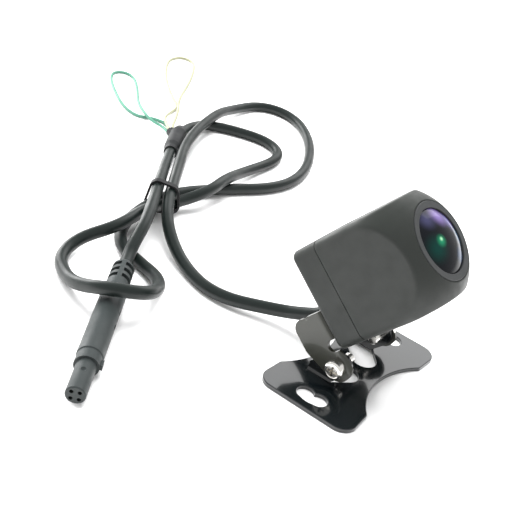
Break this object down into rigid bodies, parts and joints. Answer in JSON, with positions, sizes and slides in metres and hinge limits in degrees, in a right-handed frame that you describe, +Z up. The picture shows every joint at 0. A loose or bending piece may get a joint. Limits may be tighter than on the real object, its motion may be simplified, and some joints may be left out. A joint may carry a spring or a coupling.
{
  "type": "backup camera",
  "caption": "Square rear-view camera on a two-part tilting steel bracket, with a long thin black lead, round plug and two spare wire loops.",
  "frame": {"origin": "middle of the base bracket's underside", "axes": "+Z up, -Y to the lens side, X along the tilt axis"},
  "size_m": [0.2202, 0.2092, 0.0567],
  "materials": {
    "black_paint": "gloss",
    "black_plastic": "fine texture",
    "grey_plastic": "matte",
    "lens_glass": "coated",
    "black_rubber": "matte",
    "grey_rubber": "matte",
    "steel": "satin",
    "nickel": "bright",
    "green_board": "lacquered",
    "sensor_face": "gloss",
    "brass": "bright",
    "connector_black": "matte",
    "connector_white": "matte",
    "wire_mixed": "satin",
    "cable_black": "satin",
    "sleeve_rubber": "matte",
    "wire_green": "satin",
    "wire_pale": "satin",
    "plug_rubber": "matte"
  },
  "bodies": {
    "base": {"base_bracket": "black_paint", "pivot_screws": "nickel", "lock_washers": "nickel", "cable": "cable_black", "tie_ring": "black_rubber", "junction_sleeve": "sleeve_rubber", "green_wire_loop": "wire_green", "white_wire_loop": "wire_pale", "plug_overmould": "plug_rubber", "plug_insert": "plug_rubber", "plug_contacts": "brass"},
    "head": {"yoke": "black_paint", "rear_cover": "black_plastic", "front_housing": "black_plastic", "cover_gasket": "grey_rubber", "cover_screws": "steel", "yoke_screws": "steel", "lens_bezel": "grey_plastic", "front_lens": "lens_glass", "lens_seal": "black_rubber", "lens_barrel": "black_plastic", "inner_lens_rear": "lens_glass", "inner_lens_front": "lens_glass", "lens_lock_ring": "black_plastic", "ir_filter": "lens_glass", "lens_holder": "black_plastic", "sensor_board": "green_board", "power_board": "green_board", "image_sensor": "sensor_face", "board_spacers": "brass", "board_screws": "steel", "board_header": "connector_black", "board_socket": "connector_white", "cable_connector": "connector_white", "cable_gland": "black_rubber", "inner_wires": "wire_mixed", "cable_lead": "cable_black"}
  },
  "joints": [
    {"name": "head_tilt", "type": "hinge", "parent": "base", "child": "head", "pos_m": [0, -0.0012, 0.0077], "axis": [1, 0, 0], "range_deg": [-25, 60]}
  ]
}
